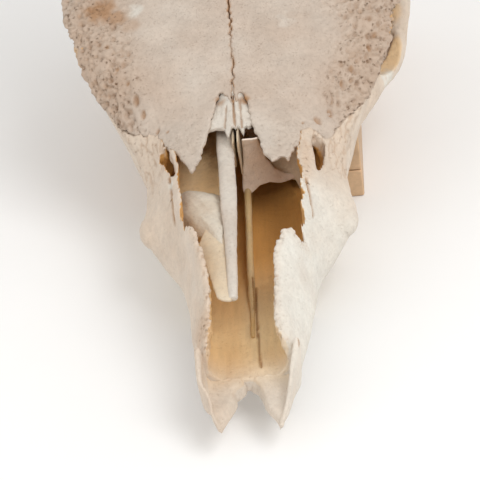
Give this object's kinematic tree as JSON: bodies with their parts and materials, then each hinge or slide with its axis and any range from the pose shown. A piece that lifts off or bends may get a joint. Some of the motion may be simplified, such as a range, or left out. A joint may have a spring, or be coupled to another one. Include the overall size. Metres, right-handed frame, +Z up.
{
  "type": "waterbuck skull",
  "caption": "Life-size bare skull of an adult male waterbuck with ringed horns, no lower jaw and an open nose, resting on a wooden cradle.",
  "frame": {"origin": "middle of the underside of the wooden cradle", "axes": "+Z up, muzzle along -Y, the animal's left side at +X"},
  "size_m": [0.3184, 0.4847, 0.6931],
  "materials": {
    "bone": "dry matt bone, pale cream, pitted towards the brows",
    "inner_bone": "thin brown bone inside the nose",
    "horn": "dark ringed horn with a soft sheen",
    "wood": "plain sanded brown wood"
  },
  "bodies": {
    "root": {"frontal_left": "bone", "frontal_right": "bone", "lacrimal_left": "bone", "lacrimal_right": "bone", "jugal_left": "bone", "jugal_right": "bone", "temporal_left": "bone", "temporal_right": "bone", "maxilla_left": "bone", "maxilla_right": "bone", "premaxilla_left": "bone", "premaxilla_right": "bone", "palatine": "bone", "sphenoid": "bone", "occipital": "bone", "parietal": "bone", "nasal_right": "bone", "nasal_stubs": "bone", "vomer": "inner_bone", "septum": "inner_bone", "turbinate_left": "inner_bone", "turbinate_right": "inner_bone", "horn_left": "horn", "horn_right": "horn", "stand_plinth": "wood", "stand_block": "wood", "stand_rail_left": "wood", "stand_rail_right": "wood"}
  },
  "joints": []
}
